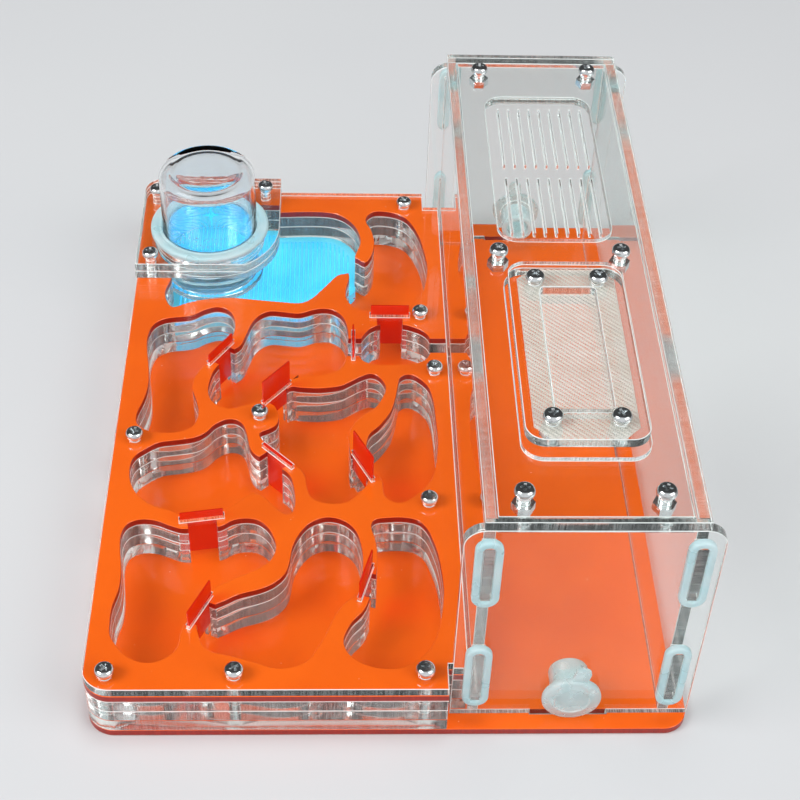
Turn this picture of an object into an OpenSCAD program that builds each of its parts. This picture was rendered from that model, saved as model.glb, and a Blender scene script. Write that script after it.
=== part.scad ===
// Ant habitat: a layered acrylic nest beside a clear foraging box, both on one base plate.
// X runs to the right, Y to the rear and Z up. Plan sizes are measured from the nest's
// front left corner, and place() moves the whole to the middle of the base's underside.

/* [Nest] */
// Width of the nest block, from its left edge to the foraging box
nest_w = 106.6; // [96:0.1:120]
// Depth of the nest block
nest_d = 224; // [214:0.5:240]
// Radius of the nest's two left corners
nest_r = 8; // [2:0.5:12]
// Thickness of each clear chamber layer
layer_t = 4.4; // [3:0.1:6]
// Thickness of the coloured mask plate
mask_t = 2.5; // [1.5:0.1:4]
// Thickness of the clear nest cover
cover_t = 3; // [2:0.1:5]

/* [Base] */
// Thickness of the base plate
base_t = 2.5; // [2:0.1:5]
// Length of the base behind the nest
base_behind = 3.5; // [1:0.5:12]
// Radius of the base's two right corners
base_r = 7; // [2:0.5:12]

/* [Foraging box] */
// Outer width over the two walls
box_w = 57.6; // [50:0.2:80]
// Outer depth over the two end plates
box_d = 214.8; // [206:0.2:218]
// Height of walls and end plates above the base
box_h = 78; // [70:0.5:110]
// Distance from the base's front edge to the front end plate
box_front = 5.2; // [4.5:0.1:8]
// Thickness of walls and end plates
sheet_t = 3.2; // [2.5:0.1:4]
// Width of the end plates beyond each wall
ear_w = 5; // [4:0.1:8]
// Radius of the upper corners of the end plates
ear_r = 6; // [2:0.5:9]
// Width of the tab under each end plate
plate_tab_w = 22; // [10:0.5:40]
// Length of the tab under each wall
wall_tab_len = 18; // [8:0.5:40]

/* [Wall tabs and sleeves] */
// Height of each tab at the ends of a wall
tab_h = 20.4; // [14:0.2:22]
// Height of the middle of the lower tabs above the base
tab_low_z = 19.3; // [17:0.1:22]
// Distance from the top of the box down to the middle of the upper tabs
tab_drop = 15.2; // [14.5:0.1:19]
// Length of the tabs beyond the end plates
tab_out = 1.8; // [1:0.1:3]
// Silicone beside each tab
sleeve_side = 2.1; // [1.2:0.1:2.6]
// Silicone above and below each tab
sleeve_end = 2.6; // [1.5:0.1:3.4]
// Thickness of the sleeves
sleeve_t = 2.2; // [1.5:0.1:3.2]

/* [Tunnel] */
// Width of the tunnel between nest and foraging box
tunnel_w = 7; // [5:0.5:8]
// Height of the hole in the box wall
tunnel_h = 8.8; // [5:0.2:12]

/* [Gates] */
// Width of a gate blade
gate_w = 13; // [11:0.1:13.4]
// Thickness of a gate blade
gate_t = 0.6; // [0.4:0.1:1.6]
// Height of a gate blade
gate_h = 18.6; // [17:0.1:24]
// Clearance round each blade in its slot
gate_gap = 0.2; // [0.1:0.05:0.4]
// Length of blade held in the slot at each end
gate_grip = 2.2; // [1:0.1:2.6]

/* [Water cup] */
// Outer diameter of the cup
cup_d = 33; // [28:0.2:34]
// Diameter of the rim at its mouth
cup_rim_d = 36.8; // [35:0.1:37.4]
// Height of the cup
cup_h = 46; // [36:0.5:70]
// Wall of the cup
cup_wall = 1.3; // [0.8:0.1:2.5]
// Height of the rim
cup_rim_h = 2.2; // [1:0.1:3.5]
// Radius of the rounded upper edge
cup_round = 3.6; // [2.5:0.1:6]
// Depth of the dished top
cup_dish = 1.1; // [0.4:0.1:1.6]
// Gap between rim and adapter bore, on the radius
cup_gap = 0.6; // [0.3:0.1:1]
// Outer diameter of the silicone gasket
gasket_d = 41.3; // [40.2:0.1:44]
// Thickness of the gasket's flange
gasket_t = 2; // [1:0.1:4]
// Depth of the gasket's collar in the adapter
gasket_collar = 3; // [1:0.1:5]

/* [Cup adapter] */
// Thickness of each of the two adapter plates
adapter_t = 3.2; // [2:0.1:5]
// Radius of the adapter's round corner, about the cup
adapter_r = 24.5; // [23:0.1:28]
// Distance from the cup's axis to the adapter's front edge
adapter_front = 20.7; // [20.5:0.1:24]

/* [Moisture plate] */
// Thickness of the moisture plate
moist_t = 4.1; // [3.8:0.1:4.3]
// Gap between the moisture plate and its chamber
moist_gap = 0.3; // [0.2:0.05:0.8]
// Distance between the slits
moist_pitch = 1.6; // [1.4:0.1:3]
// Width of the slits
moist_slit = 0.35; // [0.3:0.05:0.8]
// Depth of the slits
moist_depth = 3.2; // [1:0.1:3.6]
// Width of the uncut border
moist_border = 3.2; // [2.5:0.1:6]

/* [Lid] */
// Thickness of the outer lid plate
lid_t = 3.2; // [2:0.1:5]
// Thickness of the inner lid plate
inner_t = 3; // [2:0.1:5]
// Gap between the inner lid plate and the box
lid_gap = 0.4; // [0.2:0.1:1]
// Half the distance between the two rows of lid screws
lid_screw_x = 18.2; // [16:0.1:19.2]
// Distance from the first and last lid screw to the lid's ends
lid_screw_y = 10.2; // [9.8:0.1:12]

/* [Vents] */
// Width of the windows in the inner lid plate
window_w = 34.6; // [30:0.2:36]
// Length of the windows in the inner lid plate
window_len = 75.4; // [72:0.2:78]
// Radius of the windows' corners
window_r = 6; // [2:0.5:10]
// Distance from the lid's front edge to the middle of the front window
front_window_y = 62.4; // [62:0.2:64]
// Distance from the lid's front edge to the middle of the rear window
rear_window_y = 153.7; // [150:0.2:155]
// Number of slits in a row
slit_n = 9; // [3:1:9]
// Distance between the slits
slit_pitch = 3.36; // [2.5:0.02:3.6]
// Width of a slit
slit_w = 0.4; // [0.3:0.05:1.2]
// Length of the slits in the rear row
slit_rear_len = 30.7; // [20:0.1:33]
// Length of the slits in the front row
slit_front_len = 27.4; // [18:0.1:28]
// Distance between the two rows of slits
slit_row_gap = 7.1; // [4:0.1:10]
// Distance from the lid's front edge to the middle between the two rows
slit_mid_y = 147.5; // [147:0.1:150]

/* [Vent mesh] */
// Width of the mesh clamp plate
clamp_w = 33.5; // [32:0.1:34]
// Length of the mesh clamp plate
clamp_len = 73.2; // [70:0.2:76]
// Thickness of the mesh clamp plate
clamp_t = 3; // [2:0.1:5]
// Radius of the clamp plate's corners
clamp_r = 5.5; // [2:0.5:8]
// Width of the opening over the mesh
vent_w = 16; // [10:0.2:17]
// Length of the opening over the mesh
vent_len = 50; // [36:0.5:50]
// Width of the woven mesh
mesh_w = 28; // [20:0.2:30]
// Length of the woven mesh
mesh_len = 69; // [64:0.2:70]
// Thickness of the woven mesh
mesh_t = 0.5; // [0.3:0.05:0.8]
// Size of the mesh's cut corners
mesh_cut = 4; // [1:0.2:6]
// Half the distance between the mesh screws across the box
mesh_screw_x = 9.1; // [8:0.1:10]
// Half the distance between the mesh screws along the box
mesh_screw_y = 28.5; // [28.3:0.1:30]

/* [Plugs] */
// Diameter of the plugs' flange
plug_flange_d = 16.8; // [14:0.2:17]
// Thickness of the plugs' flange
plug_flange_t = 2.2; // [1:0.1:3]
// Diameter of the plugs' body
plug_d = 11.4; // [8:0.2:12.4]
// Length of the plugs' body
plug_len = 11; // [6:0.5:18]
// Width of the pull tab on the plugs' flange
plug_tab_w = 4.5; // [3:0.1:6]
// Length of the pull tab beyond the flange's edge
plug_tab_len = 5.2; // [3:0.1:8]
// Thickness of the pull tab
plug_tab_t = 1.2; // [0.8:0.1:1.8]
// Height of the front plug's axis above the base
plug_front_z = 8.6; // [8.6:0.1:16]
// Height of the rear plug's axis above the base
plug_rear_z = 12.4; // [8.6:0.1:20]

/* [M3 screws and nuts] */
// Diameter of the screw shank
screw_d = 2.9; // [2.5:0.05:2.95]
// Diameter of the pan head
head_d = 5.6; // [5:0.1:6]
// Height of the pan head
head_h = 2.2; // [1.6:0.1:2.6]
// Width of the nuts across the flats
nut_af = 5.5; // [5:0.1:5.8]
// Thickness of the nuts
nut_t = 2.4; // [2:0.1:2.6]
// Diameter of the clearance holes
hole_d = 3.3; // [3.1:0.05:3.6]
// Gap round the nuts in their pockets
nut_gap = 0.1; // [0.05:0.05:0.2]
// Thread that shows below the nuts
screw_over = 0.8; // [0.3:0.1:1.5]

/* [Hidden] */
$fn = 64;
cut = 1;
clear_colour = [0.82, 0.9, 0.9, 0.4];
orange = [0.95, 0.35, 0.05];

// Clearances and seats
wall_gap = 0.4;
notch_side_gap = 1;
notch_front_gap = 0.4;
notch_rear_gap = 1;
tab_gap = 0.1;
gasket_fit = 0.1;
cup_seat = 0.2;
plug_gap = 0.05;
plug_seat = 0.05;
gate_rest = 0.1;
joint = 0.4;
thread_gap = 0.05;
screw_end_z = 0.5;
vent_r = 1.5;
passage_len = 8.4;
least_wall = 0.4;
front_lean = 12;
rear_lean = -5;

// Heights above the base's top face
stack_h = 3 * layer_t + mask_t + cover_t;
mask_z = 3 * layer_t;
cover_z = mask_z + mask_t;
adapter_top = stack_h + 2 * adapter_t;
lid_top = box_h + lid_t;
clamp_z = lid_top + mesh_t;
nut_z = screw_end_z + screw_over;
tab_heights = [tab_low_z, box_h - tab_drop];

// Places in plan
box_x = nest_w + wall_gap;
box_mid_x = box_x + box_w / 2;
base_w = box_x + box_w + ear_w;
base_d = nest_d + base_behind;
box_rear = box_front + box_d;
lid_mid_y = box_front + box_d / 2;
front_window = box_front + front_window_y;
rear_window = box_front + rear_window_y;

// The plan was drawn for this nest size, and its points stretch with the nest
plan_w = 106.6;
plan_d = 224;
function fit(p) = [p[0] * nest_w / plan_w, p[1] * nest_d / plan_d];

cup_at = fit([24.7, 194.8]);
cup_hole_r = cup_rim_d / 2 + cup_gap;
tunnel_at = fit([100, 142]);

// Middle of each gate, its direction and how far the photographed blade stands up
gates = [
    [[29.4, 63.6], 9, 2.2],
    [[31, 28.4], 64.6, 5.3],
    [[78.4, 38.7], 73.7, 6.2],
    [[51.5, 89.5], -45.9, 0.3],
    [[87.7, 156.4], 0, 3.5],
    [[50.2, 118], 50.7, 8.4],
    [[31.2, 137.3], 57, 2.6],
    [[78, 85.3], -63.4, 8.8],
    [[75.2, 141], 90, 2.8]
];

nest_screw_at = [[6.4, 6.2], [41.8, 6.1], [94.6, 6.3], [98, 70.4], [6.4, 97.6], [45.2, 107.7],
    [101.9, 128.9], [98.1, 156.8], [94.1, 217.8]];
adapter_screw_at = [[5, 179.3], [43.5, 218.2], [4.5, 215.8]];

// Chamber outlines, anticlockwise
humid_room = [[11, 165], [13.5, 161], [18, 163], [24, 165], [33, 166], [42, 165], [50, 164],
    [57, 163.5], [61, 166], [64, 170], [67, 174.5], [70, 178.5], [74, 180], [76.5, 184],
    [76, 189], [78, 197], [76.5, 205], [72.5, 211], [67, 214], [58, 214.5], [48, 214],
    [36, 214.5], [24, 214.8], [14, 212], [8.5, 206], [5.5, 198], [5.6, 191], [8.3, 184],
    [12, 178], [10.5, 170]];
right_room_1 = [[73, 184], [74, 178], [73, 172], [73, 166], [76, 161], [80, 160], [84, 159.5],
    [92, 159.5], [96, 163.5], [99.5, 170], [101, 177], [101.5, 184], [100.5, 193], [99, 201],
    [96, 209], [92.5, 213], [87, 215], [82.5, 214.5], [80, 210], [82, 204], [83, 197],
    [82, 190], [79.5, 185.5], [76, 188]];
left_room_1 = [[6, 109], [6.5, 104.5], [10, 101.5], [15, 100.5], [20, 101], [24, 103.5],
    [25.5, 109], [24.5, 115], [23, 120], [23, 125], [25.5, 131], [29, 134.5], [33, 142.5],
    [35, 148], [35, 154], [33, 159], [29, 161], [24.5, 159.5], [20, 156.5], [12, 155],
    [8, 152], [6.5, 147], [6.5, 141], [8, 130], [8.5, 122], [7.5, 115]];
middle_room_2 = [[31, 132.5], [29, 128], [28, 121], [29, 116], [31.5, 113], [35.5, 111.5],
    [40, 113], [45, 115], [49.5, 119], [54, 124], [58, 126.5], [64, 127], [69, 129],
    [71.5, 132], [73, 137], [73.5, 144.5], [73.3, 150], [72, 155.5], [69.5, 159], [66, 160.5],
    [62, 160], [57, 158], [52, 158.5], [47, 159], [43.5, 157], [41, 153], [39, 146],
    [37.5, 141.5], [34.5, 138.5]];
right_room_2 = [[77, 137.5], [79, 134], [84, 132.5], [90, 132.5], [95, 133], [99, 134.8],
    [101, 139], [101, 145.5], [99, 149], [96, 151], [92, 152.5], [88, 152.5], [84, 152],
    [81, 150.3], [78.5, 146.5], [77, 142]];
middle_room_3 = [[54.5, 121.5], [51, 117], [49.5, 114], [50.5, 111], [51.3, 107.5],
    [50.5, 104], [48, 102], [45.5, 100.5], [46, 98], [48.5, 95], [53, 90.5], [57.5, 86],
    [60, 82], [61, 76], [63, 72], [68, 70.3], [73, 71], [77, 75], [79.5, 80], [77, 86],
    [74.3, 91], [73.7, 97], [74, 101.5], [76, 106], [79, 109.5], [82, 112], [84.5, 116.5],
    [85.7, 121.5], [84, 126], [81, 128], [77.5, 126.5], [74, 124], [70.5, 122], [64, 121],
    [58, 121.3]];
right_room_3 = [[79.4, 97], [79, 92], [79, 88.5], [81.5, 84], [83.8, 80], [84.5, 74],
    [87, 71.2], [90.3, 71], [94.3, 74], [98.3, 79], [100, 83], [101, 88.5], [101.8, 97],
    [101.5, 106], [101, 115], [99.5, 122], [96, 126.5], [93, 127.7], [90.5, 126],
    [89.8, 122.5], [88.6, 115.5], [87, 110], [83.5, 104], [80.5, 100.5]];
left_room_3 = [[6, 86], [6.5, 80], [9, 74.3], [13.5, 70], [19.5, 67.5], [23.5, 65.8],
    [29.5, 66], [35.5, 67.5], [39, 70], [42, 73], [45, 74.7], [48, 72.7], [51, 69], [54, 66.3],
    [56.5, 67], [57.2, 71.5], [56.5, 78], [55, 82.5], [51.5, 86], [48, 89], [45, 90.3],
    [42.7, 93.5], [41.5, 99], [40, 104], [37.5, 106.3], [34.3, 106.3], [31, 104],
    [28.5, 100.7], [25, 98.3], [19, 97], [14, 96], [9.8, 93], [7, 90]];
left_room_4 = [[5.8, 26], [6.3, 20.5], [8.4, 16.7], [11.3, 13.3], [15.5, 11], [19.7, 11],
    [23.5, 13.2], [25.5, 16.5], [26, 21], [27, 24.5], [29.5, 28.5], [32, 34], [35, 37.5],
    [40.5, 41], [46, 44], [50, 47.3], [51.8, 51.5], [51.5, 55.5], [49.5, 60.2], [46.3, 63.4],
    [42.3, 64.2], [38.5, 63.3], [35, 61], [29.5, 60.5], [24, 60], [20, 61.3], [15.5, 63.3],
    [11, 63.7], [7.5, 62], [6, 58.5], [6, 53.5], [7.2, 44], [7.2, 37], [6, 31]];
middle_room_4 = [[30.5, 24], [31, 21], [32.5, 16.8], [35.3, 14.5], [40.5, 13], [47.5, 10.7],
    [53, 8.8], [58, 9.2], [62, 11.5], [64.5, 15.5], [66.7, 20], [69.5, 27.2], [72, 31.3],
    [75, 34.5], [77, 39], [77.5, 44], [77.6, 49.5], [77, 54.3], [75.5, 59.4], [72.4, 63],
    [68.5, 64.6], [65, 64.2], [61.3, 61.8], [58.5, 57.5], [56.8, 52.5], [56.2, 47.7], [55, 43],
    [52, 39.3], [48, 37], [42, 35], [38, 32.7], [35, 31], [32, 28]];
right_room_4 = [[72.3, 20], [72.2, 16.5], [74, 13], [78, 10], [83.4, 8.5], [89, 9.2],
    [94.5, 13.2], [97.7, 18.2], [99.7, 25.3], [100.5, 30.8], [101, 36.3], [100.8, 42],
    [100, 49.5], [98.6, 55.5], [97, 60.2], [94.4, 63.4], [90.5, 64.6], [86, 64.6], [81.6, 63.8],
    [80.3, 61], [81.5, 55.5], [82, 49.5], [81.5, 42], [80.3, 37], [79, 32], [77.2, 28.3],
    [74.3, 24.7]];
rooms = [humid_room, right_room_1, left_room_1, middle_room_2, right_room_2, middle_room_3,
    right_room_3, left_room_3, left_room_4, middle_room_4, right_room_4];

// Smooth closed curve through the points p, with n steps from point to point
function curve_at(a, b, c, d, t) = b + t / 2 * (c - a + t * (2 * a - 5 * b + 4 * c - d
    + t * (3 * (b - c) + d - a)));
function smooth(p, n = 3) = let (m = len(p))
    [for (i = [0:m - 1], k = [0:n - 1])
        curve_at(p[(i + m - 1) % m], p[i], p[(i + 1) % m], p[(i + 2) % m], k / n)];
function fit_all(p) = [for (q = p) fit(q)];
// The closed curve p moved inwards by d
function inset(p, d) = let (m = len(p))
    [for (i = [0:m - 1]) let (e = p[(i + 1) % m] - p[(i + m - 1) % m])
        p[i] + d / norm(e) * [-e[1], e[0]]];
// Where the closed curve p crosses the line at x
function crossings(p, x) = let (m = len(p))
    [for (i = [0:m - 1]) let (a = p[i], b = p[(i + 1) % m])
        if ((a[0] - x) * (b[0] - x) < 0) a[1] + (x - a[0]) * (b[1] - a[1]) / (b[0] - a[0])];
// Points on an arc about c with radius r, from angle a to angle b
function arc(c, r, a, b, n = 8) = [for (i = [0:n]) let (t = a + (b - a) * i / n)
    c + r * [cos(t), sin(t)]];

module place() {
    translate([-base_w / 2, -base_d / 2, base_t]) children();
}

// Rectangle with its own radius on each corner, from the front left anticlockwise
module plate_shape(w, d, r) {
    at = [[0, 0, 0], [w, 0, 90], [w, d, 180], [0, d, 270]];
    difference() {
        square([w, d]);
        for (i = [0:3]) {
            if (r[i] > 0) {
                translate([at[i][0], at[i][1]]) rotate(at[i][2]) corner_waste(r[i]);
            }
        }
    }
}

module corner_waste(r) {
    difference() {
        translate([-cut, -cut]) square(r + cut);
        translate([r, r]) circle(r);
    }
}

// Plate of thickness t, centred on the origin in plan
module round_plate(w, d, t, r) {
    translate([-w / 2, -d / 2, 0]) linear_extrude(t) plate_shape(w, d, [r, r, r, r]);
}

module holes_at(points, z, h) {
    for (p = points) {
        translate([p[0], p[1], z - cut]) cylinder(d = hole_d, h = h + 2 * cut);
    }
}

// ---- Screws and nuts ----

// Pan head screw with its head's underside at z = 0
module pan_screw(length) {
    rim_h = head_h * 0.4;
    crown = head_h - rim_h;
    crown_r = (pow(head_d / 2, 2) + crown * crown) / (2 * crown);
    edge = asin(head_d / 2 / crown_r);
    recess_l = head_d * 0.55;
    recess_w = head_d * 0.14;
    recess_z = head_h * 0.45;
    difference() {
        union() {
            rotate_extrude() polygon(concat([[0, 0], [head_d / 2, 0]],
                arc([0, head_h - crown_r], crown_r, 90 - edge, 90, 6)));
            translate([0, 0, -length]) cylinder(d = screw_d, h = length + rim_h);
        }
        for (a = [0, 90]) {
            rotate(a) translate([-recess_l / 2, -recess_w / 2, recess_z])
                cube([recess_l, recess_w, head_h]);
        }
    }
}

module nut() {
    difference() {
        cylinder(d = nut_af / cos(30), h = nut_t, $fn = 6);
        translate([0, 0, -cut]) cylinder(d = screw_d + 2 * thread_gap, h = nut_t + 2 * cut);
    }
}

module screws_at(points, z, length) {
    for (p = points) {
        translate([p[0], p[1], z]) rotate(p[0] * 7) pan_screw(length);
    }
}

module nuts_at(points, z) {
    for (p = points) {
        translate([p[0], p[1], z]) nut();
    }
}

// ---- Nest ----

module nest_shape() {
    notch_x = box_x - ear_w - notch_side_gap;
    difference() {
        plate_shape(nest_w, nest_d, [nest_r, 0, 0, nest_r]);
        translate([notch_x, -cut])
            square([nest_w - notch_x + cut, box_front + sheet_t + notch_front_gap + cut]);
        translate([notch_x, box_rear - sheet_t - notch_rear_gap])
            square([nest_w - notch_x + cut, nest_d]);
    }
}

module gate_slots() {
    for (g = gates) {
        translate(fit(g[0])) rotate(g[1])
            square([gate_w + 2 * gate_gap, gate_t + 2 * gate_gap], center = true);
    }
}

module rooms_shape() {
    for (r = rooms) {
        polygon(smooth(fit_all(r)));
    }
    for (g = gates) {
        translate(fit(g[0])) rotate(g[1])
            square([gate_w - 2 * gate_grip, passage_len], center = true);
    }
    translate([tunnel_at[0], tunnel_at[1] - tunnel_w / 2])
        square([nest_w - tunnel_at[0] + cut, tunnel_w]);
}

// The second offset takes back what the first gives, but for any wall too thin to cut
module chambered_plate(z, t) {
    difference() {
        translate([0, 0, z]) linear_extrude(t) difference() {
            nest_shape();
            offset(delta = -least_wall / 2) offset(delta = least_wall / 2) {
                rooms_shape();
                gate_slots();
            }
        }
        holes_at(fit_all(concat(nest_screw_at, adapter_screw_at)), z, t);
    }
}

module nut_pockets() {
    for (p = fit_all(concat(nest_screw_at, adapter_screw_at))) {
        translate([p[0], p[1], -cut])
            cylinder(d = (nut_af + 2 * nut_gap) / cos(30), h = nut_z + nut_t + cut, $fn = 6);
    }
}

module base_plate() {
    color(orange) place() difference() {
        translate([0, 0, -base_t]) linear_extrude(base_t)
            plate_shape(base_w, base_d, [nest_r, base_r, base_r, nest_r]);
        for (y = [box_front, box_rear - sheet_t]) {
            translate([box_mid_x - plate_tab_w / 2 - tab_gap, y - tab_gap, -base_t - cut])
                cube([plate_tab_w + 2 * tab_gap, sheet_t + 2 * tab_gap, base_t + 2 * cut]);
        }
        for (x = [box_x, box_x + box_w - sheet_t]) {
            translate([x - tab_gap, lid_mid_y - wall_tab_len / 2 - tab_gap, -base_t - cut])
                cube([sheet_t + 2 * tab_gap, wall_tab_len + 2 * tab_gap, base_t + 2 * cut]);
        }
    }
}

module chamber_layer_1() {
    color(clear_colour) place() difference() {
        chambered_plate(0, layer_t);
        nut_pockets();
    }
}

module chamber_layer_2() {
    color(clear_colour) place() chambered_plate(layer_t, layer_t);
}

module chamber_layer_3() {
    color(clear_colour) place() chambered_plate(2 * layer_t, layer_t);
}

module mask_plate() {
    color(orange) place() chambered_plate(mask_z, mask_t);
}

module nest_cover() {
    color(clear_colour) place() difference() {
        translate([0, 0, cover_z]) linear_extrude(cover_t) difference() {
            nest_shape();
            gate_slots();
            translate(cup_at) circle(cup_hole_r);
        }
        holes_at(fit_all(concat(nest_screw_at, adapter_screw_at)), cover_z, cover_t);
    }
}

module moisture_plate() {
    edge = smooth(fit_all(humid_room));
    field = inset(edge, moist_border);
    x_all = [for (p = field) p[0]];
    first = ceil(min(x_all) / moist_pitch);
    last = floor(max(x_all) / moist_pitch);
    color([0.2, 0.75, 0.85]) place() difference() {
        linear_extrude(moist_t) polygon(inset(edge, moist_gap));
        for (i = [first:last]) {
            x = i * moist_pitch;
            y = crossings(field, x);
            if (len(y) > 1) {
                translate([x - moist_slit / 2, min(y), moist_t - moist_depth])
                    cube([moist_slit, max(y) - min(y), moist_depth + cut]);
            }
        }
    }
}

module gate(i) {
    g = gates[i];
    at = fit(g[0]);
    color([0.85, 0.1, 0.05, 0.8]) place()
        translate([at[0], at[1], gate_rest + g[2] + gate_h / 2]) rotate(g[1])
            cube([gate_w, gate_t, gate_h], center = true);
}

module nest_screws() {
    length = stack_h - nut_z + screw_over;
    color("silver") place() screws_at(fit_all(nest_screw_at), stack_h, length);
}

module nest_nuts() {
    color("silver") place() nuts_at(fit_all(nest_screw_at), nut_z);
}

// ---- Cup ----

module adapter_shape() {
    right = cup_at[0] + adapter_r;
    front = cup_at[1] - adapter_front;
    difference() {
        translate([0, front]) plate_shape(right, nest_d - front, [0, 0, 0, nest_r]);
        difference() {
            translate([cup_at[0], front - cut]) square([adapter_r + cut, adapter_front + cut]);
            translate(cup_at) circle(adapter_r);
        }
        translate(cup_at) circle(cup_hole_r);
    }
}

module adapter_plate(z) {
    difference() {
        translate([0, 0, z]) linear_extrude(adapter_t) adapter_shape();
        holes_at(fit_all(adapter_screw_at), z, adapter_t);
    }
}

module adapter_lower() {
    color(clear_colour) place() adapter_plate(stack_h);
}

module adapter_upper() {
    color(clear_colour) place() adapter_plate(stack_h + adapter_t);
}

module adapter_screws() {
    length = adapter_top - nut_z + screw_over;
    color("silver") place() screws_at(fit_all(adapter_screw_at), adapter_top, length);
}

module adapter_nuts() {
    color("silver") place() nuts_at(fit_all(adapter_screw_at), nut_z);
}

module cup_gasket() {
    inner_r = cup_d / 2 + gasket_fit;
    collar_r = cup_hole_r - gasket_fit;
    round_r = gasket_t * 0.4;
    color("white") place() translate([cup_at[0], cup_at[1], adapter_top]) rotate_extrude()
        polygon(concat([[inner_r, -gasket_collar], [collar_r, -gasket_collar], [collar_r, 0],
            [gasket_d / 2, 0]], arc([gasket_d / 2 - round_r, gasket_t - round_r], round_r, 0, 90),
            [[inner_r, gasket_t]]));
}

module water_cup() {
    r = cup_d / 2;
    rim_r = cup_rim_d / 2;
    rim_round = cup_rim_h * 0.3;
    dish_r = r - cup_round;
    inner_round = cup_round - cup_wall;
    ceiling = cup_h - cup_dish - cup_wall;
    color([0.85, 0.93, 0.95, 0.4]) place() translate([cup_at[0], cup_at[1], moist_t + cup_seat])
        rotate_extrude() polygon(concat(
            [[r - cup_wall, 0], [rim_r - rim_round, 0]],
            arc([rim_r - rim_round, rim_round], rim_round, -90, 0, 5),
            arc([rim_r - rim_round, cup_rim_h - rim_round], rim_round, 0, 90, 5),
            [[r, cup_rim_h]],
            arc([r - cup_round, cup_h - cup_round], cup_round, 0, 90, 10),
            [[dish_r - cup_dish, cup_h - cup_dish], [0, cup_h - cup_dish], [0, ceiling]],
            arc([r - cup_wall - inner_round, ceiling - inner_round], inner_round, 90, 0, 8)));
}

// ---- Foraging box ----

module wall(x) {
    inner_d = box_d - 2 * sheet_t;
    reach = sheet_t + tab_out;
    translate([x, 0, 0]) {
        translate([0, box_front + sheet_t, 0]) cube([sheet_t, inner_d, box_h]);
        for (z = tab_heights) {
            translate([0, box_front - tab_out, z - tab_h / 2])
                cube([sheet_t, inner_d + 2 * reach, tab_h]);
        }
        translate([0, lid_mid_y - wall_tab_len / 2, -base_t])
            cube([sheet_t, wall_tab_len, base_t + tab_low_z]);
    }
}

module wall_left() {
    color(clear_colour) place() difference() {
        wall(box_x);
        translate([box_x - cut, tunnel_at[1] - tunnel_w / 2, -cut])
            cube([sheet_t + 2 * cut, tunnel_w, tunnel_h + cut]);
    }
}

module wall_right() {
    color(clear_colour) place() wall(box_x + box_w - sheet_t);
}

module end_plate(y, hole_z) {
    w = box_w + 2 * ear_w;
    difference() {
        translate([box_mid_x, y + sheet_t, 0]) rotate([90, 0, 0]) linear_extrude(sheet_t)
            difference() {
                translate([-w / 2, 0]) plate_shape(w, box_h, [0, 0, ear_r, ear_r]);
                for (side = [-1, 1], z = tab_heights) {
                    translate([side * (box_w - sheet_t) / 2, z])
                        square([sheet_t + 2 * tab_gap, tab_h + 2 * tab_gap], center = true);
                }
            }
        translate([box_mid_x, y - cut, hole_z]) rotate([-90, 0, 0])
            cylinder(d = plug_d + 2 * plug_gap, h = sheet_t + 2 * cut);
    }
    translate([box_mid_x - plate_tab_w / 2, y, -base_t])
        cube([plate_tab_w, sheet_t, base_t + joint]);
}

module end_plate_front() {
    color(clear_colour) place() end_plate(box_front, plug_front_z);
}

module end_plate_rear() {
    color(clear_colour) place() end_plate(box_rear - sheet_t, plug_rear_z);
}

// Stadium-shaped silicone sleeve, lying on the XZ plane and reaching from y to y + sleeve_t
module sleeve(side, z, y) {
    r = sheet_t / 2 + sleeve_side;
    half = tab_h / 2 + sleeve_end - r;
    color([0.92, 0.95, 0.95]) place()
        translate([box_mid_x + side * (box_w - sheet_t) / 2, y + sleeve_t, z])
            rotate([90, 0, 0]) linear_extrude(sleeve_t) difference() {
                union() {
                    square([2 * r, 2 * half], center = true);
                    translate([0, half]) circle(r);
                    translate([0, -half]) circle(r);
                }
                square([sheet_t + tab_gap, tab_h + tab_gap], center = true);
            }
}

module sleeve_front(side, z) {
    sleeve(side, z, box_front - sleeve_t);
}

module sleeve_rear(side, z) {
    sleeve(side, z, box_rear);
}

// Plug along +Y, with its flange's inner face at y = 0 and its pull tab turned by lean
module plug(lean) {
    edge = plug_flange_t * 0.3;
    end_round = 0.8;
    flange_r = plug_flange_d / 2;
    tab_top = flange_r + plug_tab_len - plug_tab_w / 2;
    rotate([-90, 0, 0]) rotate_extrude() polygon(concat(
        [[0, plug_len], [0, -plug_flange_t], [flange_r - edge, -plug_flange_t]],
        arc([flange_r - edge, -plug_flange_t + edge], edge, -90, 0, 4),
        [[flange_r, 0], [plug_d / 2, 0]],
        arc([plug_d / 2 - end_round, plug_len - end_round], end_round, 0, 90, 4)));
    rotate([90, lean, 0]) linear_extrude(plug_tab_t) {
        translate([-plug_tab_w / 2, plug_d / 2]) square([plug_tab_w, tab_top - plug_d / 2]);
        translate([0, tab_top]) circle(plug_tab_w / 2);
    }
}

module plug_front() {
    color("white") place() translate([box_mid_x, box_front - plug_seat, plug_front_z])
        plug(front_lean);
}

module plug_rear() {
    color("white") place() translate([box_mid_x, box_rear + plug_seat, plug_rear_z])
        rotate(180) plug(rear_lean);
}

// ---- Lid ----

lid_screw_at = [for (x = [-1, 1], y = [-1, 0, 1])
    [box_mid_x + x * lid_screw_x, lid_mid_y + y * (box_d / 2 - lid_screw_y)]];
mesh_screw_at = [for (x = [-1, 1], y = [-1, 1])
    [box_mid_x + x * mesh_screw_x, front_window + y * mesh_screw_y]];

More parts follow.
